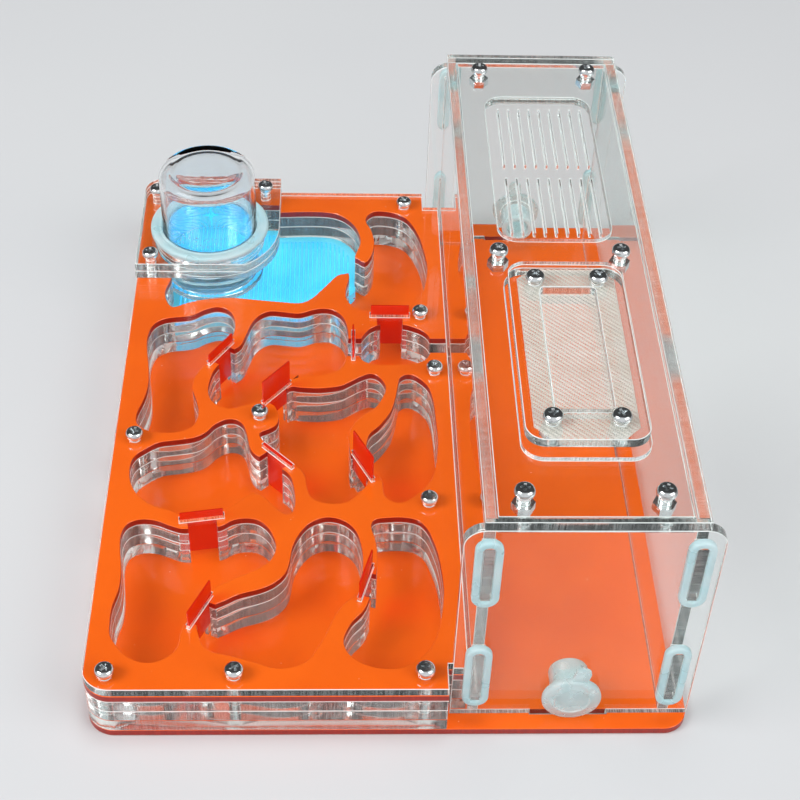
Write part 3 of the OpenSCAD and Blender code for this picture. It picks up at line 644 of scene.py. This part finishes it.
def screwHead():
    s = screwShape
    r, h = s["headDiameter"] / 2, s["headHeight"]
    side = [(r - 0.25, 0.0), (r - 0.04, 0.10), (r, 0.3)]
    crown = [(r * math.cos(t) ** 0.45, 0.3 + (h - 0.3) * math.sin(t) ** 0.8) for t in
             [math.radians(a) for a in (9, 20, 32, 44, 56, 66, 75, 82, 87)]]
    profile = [(0, 0)] + side + crown + [(0, h)]
    head = turned("screwHead", profile, (0, 0, 0), steel, 40)
    for turn in (0, 90):
        w0, w1 = s["recessWidth"] / 2, s["recessWidth"] / 2 * s["recessEndWidth"]
        l0, l1 = s["recessSpan"] / 2, s["recessSpan"] / 2 * s["recessEndSpan"]
        z0, z1 = h + 0.4, h - s["recessDepth"]
        points = [(x * mm, y * mm, z * mm) for z, l, w in ((z1, l1, w1), (z0, l0, w0))
                  for x, y in ((-l, -w), (l, -w), (l, w), (-l, w))]
        points = [tuple(Matrix.Rotation(math.radians(turn), 3, "Z") @ Vector(p)) for p in points]
        driver = addMesh("recess", points, [
            (0, 3, 2, 1), (4, 5, 6, 7), (0, 1, 5, 4), (1, 2, 6, 5), (2, 3, 7, 6), (3, 0, 4, 7)], steel)
        bite = head.modifiers.new("bite", "BOOLEAN")
        bite.operation, bite.solver, bite.object = "DIFFERENCE", "EXACT", driver
        bpy.context.view_layer.update()
        mesh = bpy.data.meshes.new_from_object(head.evaluated_get(bpy.context.evaluated_depsgraph_get()))
        head.modifiers.remove(bite)
        head.data = mesh
        bpy.data.objects.remove(driver)
    return head


def screwBuild(b, given):
    turns = given["Length"] / given["Pitch"]
    rings = (turns * 6).math("CEIL")
    rod = b.add("GeometryNodeMeshCylinder", {"fill_type": "NGON"}, {
        "Vertices": 12, "Side Segments": rings, "Radius": given["Shank Diameter"] * 0.5,
        "Depth": given["Length"]})
    at = b.add("GeometryNodeInputPosition")
    angle = at.part(1).math("ARCTAN2", at.part(0)) / (2 * math.pi)
    wave = abs((at.part(2) / given["Pitch"] + angle).math("FRACT") - 0.5) * 2
    # the thread fades out under the head
    fade = (given["Length"] * 0.5 - at.part(2)).ramp(0.0, 0.0006)
    scale = 1 - wave * fade * given["Thread Depth"] / (given["Shank Diameter"] * 0.5)
    place = b.add("ShaderNodeCombineXYZ", {}, {
        "X": at.part(0) * scale, "Y": at.part(1) * scale, "Z": at.part(2) - given["Length"] * 0.5})
    shank = b.add("GeometryNodeSetPosition", {}, {"Geometry": rod, "Position": place})
    head = b.add("GeometryNodeObjectInfo", {}, {"Object": given["Head"]}, "Geometry")
    both = b.add("GeometryNodeJoinGeometry", {}, {0: shank})
    b.tree.links.new(head.socket, both.socket.node.inputs[0])
    spin = b.add("FunctionNodeRandomValue", {"data_type": "FLOAT"}, {
        2: 0.0, 3: 2 * math.pi, "Seed": given["Seed"]}, 1)
    turn = b.add("ShaderNodeCombineXYZ", {}, {"Z": spin})
    return b.add("GeometryNodeInstanceOnPoints", {}, {
        "Points": given["Geometry"], "Instance": both, "Rotation": turn})


screwHeadPiece = screwHead()
screwTree = growTree("screws", {
    "Head": screwHeadPiece, "Shank Diameter": 2.9 * mm, "Length": 20.0 * mm, "Pitch": 0.5 * mm,
    "Thread Depth": 0.2 * mm, "Seed": 1, "Material": steel}, screwBuild)


# Middles of a node's separate solids in plan, each with its lowest and highest point
def solidMiddles(node):
    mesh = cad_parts[node].data
    work = bmesh.new()
    work.from_mesh(mesh)
    bmesh.ops.remove_doubles(work, verts=work.verts, dist=1e-6)
    left, middles = set(work.verts), []
    while left:
        todo, group = [next(iter(left))], set()
        while todo:
            vert = todo.pop()
            if vert in group:
                continue
            group.add(vert)
            todo += [edge.other_vert(vert) for edge in vert.link_edges]
        left -= group
        xs, ys, zs = zip(*[tuple(v.co) for v in group])
        middles.append(((min(xs) + max(xs)) / 2, (min(ys) + max(ys)) / 2, min(zs), max(zs)))
    work.free()
    return sorted(middles)


def screws(node, body, seed):
    s = screwShape
    found = solidMiddles(node)
    head = s["headHeight"] * mm
    low, high = found[0][2], found[0][3]
    places = dots(node, [(x, y, top - head) for x, y, _, top in found])
    piece = grow(node + "_turned", screwTree, places, {
        "Head": screwHeadPiece, "Shank Diameter": s["shankDiameter"] * mm, "Length": high - head - low,
        "Pitch": s["pitch"] * mm, "Thread Depth": s["threadDepth"] * mm, "Seed": seed, "Material": steel})
    dress(piece, body, "fastener_steel", node)


for node, body, seed in (("nest_screws", "habitat", 3), ("adapter_screws", "habitat", 5),
                         ("lid_screws", "lid", 8), ("mesh_screws", "lid", 12)):
    screws(node, body, seed)
bpy.data.objects.remove(screwHeadPiece)
print("screws grown")


# Vent mesh: warp and weft in a two-over two-under weave

meshShape = {
    "width": 28.0, "length": 69.0, "pitch": 0.46, "wire": 0.27, "cornerCut": 4.0, "stray": 0.06, "seed": 4,
}


def weaveBuild(b, given):
    def wires(along, across, count, sign):
        length, reach = [given[{"X": "Width", "Y": "Length"}[way]] for way in (along, across)]
        spread = b.add("GeometryNodeMeshLine", {"mode": "OFFSET"}, {
            "Count": count, "Start Location": b.add("ShaderNodeCombineXYZ", {}, {across: reach * -0.5}),
            "Offset": b.add("ShaderNodeCombineXYZ", {}, {across: given["Pitch"]})})
        line = b.add("GeometryNodeCurvePrimitiveLine", {}, {
            "Start": b.add("ShaderNodeCombineXYZ", {}, {along: length * -0.5}),
            "End": b.add("ShaderNodeCombineXYZ", {}, {along: length * 0.5})})
        steps = (length / given["Pitch"]).math("ROUND") + 1
        line = b.add("GeometryNodeResampleCurve", {}, {"Curve": line, "Count": steps})
        laid = b.add("GeometryNodeRealizeInstances", {}, {0: b.add("GeometryNodeInstanceOnPoints", {}, {
            "Points": spread, "Instance": line})})
        at = b.add("GeometryNodeInputPosition")
        i = ((at.part(0) + given["Width"] * 0.5) / given["Pitch"]).math("ROUND")
        j = ((at.part(1) + given["Length"] * 0.5) / given["Pitch"]).math("ROUND")
        over = ((i + j) * (math.pi / 2) + math.pi / 4).math("SINE") * 1.414
        # the wires lie a little out of line
        far = meshShape["stray"] * mm
        stray = b.add("FunctionNodeRandomValue", {"data_type": "FLOAT_VECTOR"}, {
            0: (-far, -far, 0), 1: (far, far, 0), "Seed": given["Seed"]}, 0)
        lift = b.add("ShaderNodeCombineXYZ", {}, {"Z": over * given["Wire"] * (0.5 * sign)})
        moved = b.add("GeometryNodeSetPosition", {}, {"Geometry": laid, "Offset": b.add(
            "ShaderNodeVectorMath", {"operation": "ADD"}, {0: lift, 1: stray})})
        corner = (abs(at.part(0)) + abs(at.part(1))) > (
            given["Width"] * 0.5 + given["Length"] * 0.5 - given["Corner Cut"])
        return b.add("GeometryNodeDeleteGeometry", {"domain": "POINT"}, {
            "Geometry": moved, "Selection": corner})
    warp = wires("Y", "X", (given["Width"] / given["Pitch"]).math("ROUND") + 1, 1)
    weft = wires("X", "Y", (given["Length"] / given["Pitch"]).math("ROUND") + 1, -1)
    both = b.add("GeometryNodeJoinGeometry", {}, {0: warp})
    b.tree.links.new(weft.socket, both.socket.node.inputs[0])
    ring = b.add("GeometryNodeCurvePrimitiveCircle", {"mode": "RADIUS"}, {
        "Resolution": 4, "Radius": given["Wire"] * 0.5})
    tubes = b.add("GeometryNodeCurveToMesh", {}, {"Curve": both, "Profile Curve": ring, "Fill Caps": True})
    return b.add("GeometryNodeInstanceOnPoints", {}, {"Points": given["Geometry"], "Instance": tubes})


def ventMesh():
    s = meshShape
    inputs = {
        "Width": s["width"] * mm, "Length": s["length"] * mm, "Pitch": s["pitch"] * mm, "Wire": s["wire"] * mm,
        "Corner Cut": s["cornerCut"] * mm, "Seed": s["seed"], "Material": cloth}
    low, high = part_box("vent_mesh")
    middle = dots("vent", [tuple((low[i] + high[i]) / 2 for i in range(3))])
    piece = grow("vent_mesh_woven", growTree("weave", inputs, weaveBuild), middle, inputs, 60)
    dress(piece, "lid", "mesh_steel", "vent_mesh")


ventMesh()
print("mesh woven")


# Silicone sleeves round the wall tabs

sleeveShape = {"wall": 2.05, "rounding": 0.55}


def sleeveBuild(b, given):
    path = b.add("GeometryNodeCurvePrimitiveQuadrilateral", {}, {
        "Width": given["Width"] - given["Wall"], "Height": given["Height"] - given["Wall"]})
    path = b.add("GeometryNodeFilletCurve", {"mode": "POLY"}, {
        "Curve": path, "Radius": (given["Width"] - given["Wall"]) * 0.4999, "Count": 10})
    section = b.add("GeometryNodeCurvePrimitiveQuadrilateral", {}, {
        "Width": given["Wall"], "Height": given["Depth"]})
    section = b.add("GeometryNodeFilletCurve", {"mode": "POLY"}, {
        "Curve": section, "Radius": given["Rounding"], "Count": 4})
    ring = b.add("GeometryNodeCurveToMesh", {}, {"Curve": path, "Profile Curve": section})
    upright = b.add("GeometryNodeTransform", {}, {"Geometry": ring, "Rotation": (math.pi / 2, 0, 0)})
    return b.add("GeometryNodeInstanceOnPoints", {}, {"Points": given["Geometry"], "Instance": upright})


def sleeves():
    s = sleeveShape
    names = ["sleeve_" + end + "_" + str(i) for end in ("front", "rear") for i in (1, 2, 3, 4)]
    boxes = [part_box(name) for name in names]
    low, high = boxes[0]
    inputs = {"Width": high[0] - low[0], "Height": high[2] - low[2], "Depth": high[1] - low[1],
              "Wall": s["wall"] * mm, "Rounding": s["rounding"] * mm, "Material": softWhite}
    tree = growTree("sleeves", inputs, sleeveBuild)
    middles = [tuple((lo[i] + hi[i]) / 2 for i in range(3)) for lo, hi in boxes]
    piece = grow("sleeves_soft", tree, dots("sleeveAt", middles), inputs, 50)
    dress(piece, "habitat", "silicone", *names)


sleeves()
print("sleeves grown")


# Sheets

for node in ("chamber_layer_2", "chamber_layer_3", "nest_cover", "adapter_lower", "adapter_upper"):
    sheet(node, 2, clearFlat, "habitat", "clear_acrylic")
for node in ("base_plate", "mask_plate"):
    sheet(node, 2, orange, "habitat", "orange_acrylic")
for node in ("lid_outer_plate", "lid_inner_plate", "mesh_clamp"):
    sheet(node, 2, clearFlat, "lid", "clear_acrylic")
for node in ("wall_left", "wall_right"):
    sheet(node, 0, clearSide, "habitat", "clear_acrylic")
for node in ("end_plate_front", "end_plate_rear"):
    sheet(node, 1, clearFront, "habitat", "clear_acrylic")


# A copy of a node's own mesh with its corners merged, changed by one function
def reworked(node, ending, change, look, smoothAngle, body, slot):
    work = bmesh.new()
    work.from_mesh(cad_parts[node].data)
    bmesh.ops.remove_doubles(work, verts=work.verts, dist=1e-6)
    change(work)
    mesh = bpy.data.meshes.new(node + ending)
    work.to_mesh(mesh)
    work.free()
    mesh.shade_smooth()
    mesh.set_sharp_from_angle(angle=math.radians(smoothAngle))
    mesh.materials.clear()
    mesh.materials.append(look)
    piece = bpy.data.objects.new(node + ending, mesh)
    bpy.context.collection.objects.link(piece)
    dress(piece, body, slot, node)


# The lowest chamber layer keeps its nut pockets, so its own mesh is drawn in by the air gap
def drawIn(work):
    work.normal_update()
    moves = {v: v.normal.copy() for v in work.verts}
    for v, n in moves.items():
        v.co -= n * sheetShape["airGap"] * mm


reworked("chamber_layer_1", "_sheet", drawIn, clearFlat, 40, "habitat", "clear_acrylic")
print("sheets cut")


# Gates: blades with eased edges

gateShape = {"ease": 0.15, "easeSteps": 2, "easeProfile": 0.6}


def easeEdges(work):
    s = gateShape
    bmesh.ops.dissolve_limit(work, angle_limit=math.radians(2), verts=work.verts, edges=work.edges)
    bmesh.ops.bevel(work, geom=list(work.edges), offset=s["ease"] * mm, segments=s["easeSteps"],
                    affect="EDGES", profile=s["easeProfile"])


for node in ["gate_" + str(i) for i in range(1, 10)]:
    reworked(node, "_blade", easeEdges, gateRed, 30, node, "red_acrylic")
print("gates made")


# Water cup, its gasket, and the drops and water inside it

cupShape = {
    "diameter": 33.0, "rim": 36.8, "rimHeight": 2.2, "wall": 1.3, "height": 46.0, "round": 3.6, "dish": 1.1,
}
gasketShape = {"outer": 41.3, "height": 2.0, "collar": 3.0, "inner": 33.3, "neck": 37.8}


def cup():
    s = cupShape
    low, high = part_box("water_cup")
    at = ((low[0] + high[0]) / 2, (low[1] + high[1]) / 2, low[2])
    r, w, h = s["diameter"] / 2, s["wall"], s["height"]
    inner, rim, foot = s["round"] - w, s["rim"] / 2, s["rimHeight"]
    flat, floor = r - s["round"], h - s["dish"]
    ceiling = floor - w
    outside = [(r - w, 0), (rim - 0.6, 0)] + arc(rim - 0.6, 0.6, 0.6, -75, 0, 4) \
        + arc(rim - 0.7, foot - 0.7, 0.7, 0, 90, 5) + arc(r + 0.5, foot + 0.5, 0.5, -90, -180, 4)[1:]
    # the top is dished inside a round rim
    top = arc(flat, h - s["round"], s["round"], 0, 90, 12) + [
        (flat - 0.5, h - 0.06), (flat - 1.1, h - 0.35), (flat - 1.7, h - 0.8), (flat - 2.6, floor),
        (flat - 5, floor - 0.12), (0, floor + 0.25)]
    inside = [(0, ceiling + 0.25), (flat - 5, ceiling - 0.1)] \
        + list(reversed(arc(r - w - inner, ceiling - inner, inner, 0, 90, 10)))
    piece = turned("water_cup_moulded", outside + top + inside, at, cupClear, 128, smoothAngle=50)
    dress(piece, "cup", "cup_plastic", "water_cup")
    return at


cupAt = cup()


def gasket():
    s = gasketShape
    low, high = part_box("cup_gasket")
    at = ((low[0] + high[0]) / 2, (low[1] + high[1]) / 2, high[2] - s["height"] * mm)
    a, b = s["inner"] / 2, s["outer"] / 2
    profile = [(a, -s["collar"]), (s["neck"] / 2, -s["collar"]), (s["neck"] / 2, 0)] \
        + arc(b - 0.5, 0.5, 0.5, -90, 0, 4) + arc(b - 0.9, s["height"] - 0.9, 0.9, 0, 90, 6) \
        + [(a + 1.6, s["height"]), (a + 1.3, s["height"] - 0.25), (a + 1.0, s["height"] - 0.25)] \
        + arc(a + 0.5, s["height"] - 0.5, 0.5, 60, 180, 5)
    piece = turned("cup_gasket_soft", profile, at, softWhite, 96, smoothAngle=50)
    dress(piece, "cup", "silicone", "cup_gasket")


gasket()

dropShape = {
    "spacing": 0.6, "density": 9.0e5, "least": 0.1, "most": 0.3, "low": 11.0, "high": 28.0, "inset": 0.12,
    "bandSteps": 40, "seed": 21,
}


def dropBuild(b, given):
    spread = b.add("GeometryNodeDistributePointsOnFaces", {"distribute_method": "POISSON"}, {
        "Mesh": given["Geometry"], "Distance Min": given["Spacing"], "Density Max": given["Density"],
        "Seed": given["Seed"]})
    turn = spread.socket.node.outputs["Rotation"]
    bead = b.add("GeometryNodeMeshIcoSphere", {}, {"Radius": 1.0, "Subdivisions": 1})
    size = b.add("FunctionNodeRandomValue", {"data_type": "FLOAT"}, {
        2: given["Least"], 3: given["Most"], "Seed": given["Seed"]}, 1)
    scale = b.add("ShaderNodeCombineXYZ", {}, {"X": size, "Y": size, "Z": size * 0.5})
    return b.add("GeometryNodeInstanceOnPoints", {}, {
        "Points": spread, "Instance": bead, "Rotation": Wire(b, turn), "Scale": scale})


def drops():
    s = dropShape
    r = cupShape["diameter"] / 2 - cupShape["wall"] - s["inset"]
    # the lower part of the cup's wall, facing the axis
    points, faces, n = [], [], s["bandSteps"]
    for z in (s["low"], s["high"]):
        for i in range(n):
            t = 2 * math.pi * i / n
            points.append((cupAt[0] + r * mm * math.cos(t), cupAt[1] + r * mm * math.sin(t),
                           cupAt[2] + z * mm))
    for i in range(n):
        k = (i + 1) % n
        faces.append((k, i, n + i, n + k))
    band = bpy.data.meshes.new("dropBand")
    band.from_pydata(points, [], faces)
    inputs = {"Spacing": s["spacing"] * mm, "Density": s["density"], "Least": s["least"] * mm,
              "Most": s["most"] * mm, "Seed": s["seed"], "Material": water}
    piece = grow("cup_drops", growTree("drops", inputs, dropBuild), band, inputs, 180)
    dress(piece, "cup", "cup_plastic")


drops()


fillShape = {"gap": 0.05, "aboveFoot": 0.1, "underGasketTop": 1.0, "meniscus": 0.5}


# The water that stands in the cup, up to the gasket: the pad below shows through its whole surface
def cupWater():
    s = fillShape
    r = cupShape["diameter"] / 2 - cupShape["wall"] - s["gap"]
    level = (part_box("cup_gasket")[1][2] - cupAt[2]) / mm - s["underGasketTop"]
    rise = s["meniscus"]
    profile = [(0, s["aboveFoot"]), (r, s["aboveFoot"]), (r, level + rise), (r - 0.15, level + rise * 0.4),
               (r - 0.5, level + rise * 0.1), (r - 1.2, level), (0, level)]
    dress(turned("cup_water", profile, cupAt, fillClear, 128, smoothAngle=50), "cup", "cup_plastic")


cupWater()
print("cup made")


# Plugs: a stopper with a rounded flange, a raised blank disc on its face and a pull tab

plugShape = {
    "flange": 16.8, "flangeHeight": 2.2, "body": 11.4, "length": 11.0, "wall": 2.3, "floor": 1.6,
    "tabWidth": 4.5, "tabReach": 5.2, "tabFrom": 0.75, "tabHeight": 1.2, "tabEase": 0.9,
    "frontLean": 12, "rearLean": -5,
}


def plug(node, body, facing, lean):
    s = plugShape
    low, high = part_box(node)
    face = low[1] if facing < 0 else high[1]
    r, b = s["flange"] / 2, s["body"] / 2
    x = (low[0] + high[0]) / 2
    z = low[2] + r * mm
    # along the body, from the flange's outer face inwards
    top = s["flangeHeight"]
    end = s["length"] + top
    disc = [(0, 0.35), (b - 0.9, 0.35), (b - 0.6, 0.02), (b - 0.2, 0.02), (b + 0.2, 0.3)]
    flange = [(r - 0.9, 0.3), (r - 0.35, 0.5), (r - 0.05, 0.95), (r, 1.4), (r - 0.12, top), (b + 0.01, top)]
    stopper = [(b, top + 0.3), (b, end - 1.0), (b - 0.3, end - 0.35), (b - 0.9, end), (b - 1.6, end),
               (b - 1.9, end - 0.6), (b - s["wall"], top + 2.0), (0, top + s["floor"])]
    profile = [(p, -facing * q) for p, q in disc + flange + stopper]
    piece = turned(node + "_moulded", profile, (x, face, z), plugWhite, 64, axis=1, smoothAngle=40)
    # pull tab on the flange's edge
    w, h, ease = s["tabWidth"] / 2, s["tabReach"], s["tabEase"]
    outline = [(-w, r - 1.2), (w, r - 1.2)] + arc(0, r + h - w, w, 0, 180, 12)
    y0, y1 = s["tabFrom"], s["tabFrom"] + s["tabHeight"]
    levels = [(y0, ease), (y0 + 0.2, 1.0), (y1 - 0.2, 1.0), (y1, ease)]
    middle = (0, r + h / 2 - 0.6)
    turn = Matrix.Rotation(math.radians(lean), 2)
    points, faces = [], []
    n = len(outline)
    for y, k in levels:
        for p in outline:
            q = turn @ Vector([middle[j] + (p[j] - middle[j]) * k for j in (0, 1)])
            points.append((x + q.x * mm, face - facing * y * mm, z + q.y * mm))
    for level in range(3):
        for i in range(n):
            k = (i + 1) % n
            faces.append((level * n + i, level * n + k, (level + 1) * n + k, (level + 1) * n + i))
    faces.append(tuple(reversed(range(n))))
    faces.append(tuple(range(3 * n, 4 * n)))
    tab = addMesh(node + "_tab", points, faces, plugWhite, 40)
    dress(piece, body, "plug_plastic", node)
    dress(tab, body, "plug_plastic")


plug("plug_front", "plug_front", -1, -plugShape["frontLean"])
plug("plug_rear", "plug_rear", 1, -plugShape["rearLean"])
print("plugs made")


# CAD nodes that stay, with their finishes
for node, look in (("nest_nuts", steel), ("adapter_nuts", steel), ("lid_nuts", steel),
                   ("mesh_nuts", steel), ("moisture_plate", padBlue)):
    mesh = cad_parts[node].data
    mesh.materials.clear()
    mesh.materials.append(look)


# Stage

# Sizes and places here are in metres
studio = {
    "floorSize": 2.0, "tint": (0.97, 0.985, 1.0), "backdrop": 0.82,
    "worldFront": 0.75, "worldRear": 0.06, "worldLow": 0.4, "frontSpan": (0.15, -0.35), "lowSpan": (0.0, 0.5),
    "horizonSpan": (0.4, 0.2), "aimedAt": (0, 0, 0.03),
    "lamps": [
        {"name": "key", "at": (-0.95, -0.35, 1.15), "size": 0.7, "watts": 12.5, "mirrored": True},
        {"name": "fill", "at": (0.95, -0.55, 0.9), "size": 0.9, "watts": 6.0, "mirrored": True},
        {"name": "top", "at": (0.1, 0.1, 1.5), "size": 0.6, "watts": 7.0, "mirrored": False},
    ],
}


def stage():
    half = studio["floorSize"] / 2
    # a hair under the base, so that the two never share a plane
    points = [(x, y, -0.2 * mm) for x, y in ((-half, -half), (half, -half), (half, half), (-half, half))]
    floor = addMesh("floor", points, [(0, 1, 2, 3)], material("paleFloor", paleFloor), 60)
    world = bpy.data.worlds.new("softStudio")
    world.use_nodes = True
    world.node_tree.nodes.clear()
    b = Board(world.node_tree)
    # darker to the rear, so that the stacked sheets mirror little of it towards the camera
    aim = b.add("ShaderNodeTexCoord", out="Generated")
    front, rear, low = studio["worldFront"], studio["worldRear"], studio["worldLow"]
    strength = aim.part(1).ramp(*studio["frontSpan"]) * (front - rear) + rear
    strength = strength + (0 - aim.part(2)).ramp(*studio["lowSpan"]) * (low - rear)
    # seen directly or through the sheets, the horizon is as pale as the floor
    direct = b.add("ShaderNodeLightPath", out="Is Camera Ray")
    through = b.add("ShaderNodeLightPath", out="Is Transmission Ray")
    seen = direct.math("MAXIMUM", through) * aim.part(2).ramp(*studio["horizonSpan"])
    strength = seen * studio["backdrop"] + (1 - seen) * strength
    glow = b.add("ShaderNodeBackground", {}, {"Color": studio["tint"], "Strength": strength})
    b.add("ShaderNodeOutputWorld", {}, {"Surface": glow})
    bpy.context.scene.world = world
    for spec in studio["lamps"]:
        lamp = bpy.data.lights.new(spec["name"], "AREA")
        lamp.shape, lamp.size, lamp.energy = "SQUARE", spec["size"], spec["watts"]
        holder = bpy.data.objects.new(spec["name"], lamp)
        holder.location = spec["at"]
        # the flat sheets don't mirror the lamp straight above them
        holder.visible_glossy = holder.visible_transmission = spec["mirrored"]
        aimAt = Vector(studio["aimedAt"]) - Vector(spec["at"])
        holder.rotation_euler = aimAt.to_track_quat("-Z", "Y").to_euler()
        bpy.context.collection.objects.link(holder)


stage()

# The photograph's camera, in millimetres, solved from its straight edges
cameraView = {
    "at": (-14.905, -382.702, 391.106), "lens": 74.27, "sensor": 36.0, "clip": (0.01, 20),
    "right": (0.99927, -0.02470, 0.02916), "up": (-0.00380, 0.69502, 0.71898),
}


def camera():
    right, up = Vector(cameraView["right"]).normalized(), Vector(cameraView["up"])
    back = right.cross(up).normalized()
    up = back.cross(right)
    lens = bpy.data.cameras.new("camera")
    lens.lens, lens.sensor_width, lens.sensor_fit = cameraView["lens"], cameraView["sensor"], "HORIZONTAL"
    lens.clip_start, lens.clip_end = cameraView["clip"]
    holder = bpy.data.objects.new("camera", lens)
    frameAt = Matrix((right, up, back)).transposed().to_4x4()
    frameAt.translation = Vector(cameraView["at"]) * mm
    holder.matrix_world = frameAt
    bpy.context.collection.objects.link(holder)
    bpy.context.scene.camera = holder


camera()

bpy.context.scene.view_settings.view_transform = "Standard"
# The stacked sheets need deeper light paths than the default
lightPaths = {
    "max_bounces": 18, "transmission_bounces": 18, "glossy_bounces": 6, "transparent_max_bounces": 40,
}
for key, value in lightPaths.items():
    setattr(bpy.context.scene.cycles, key, value)
print("stage set")
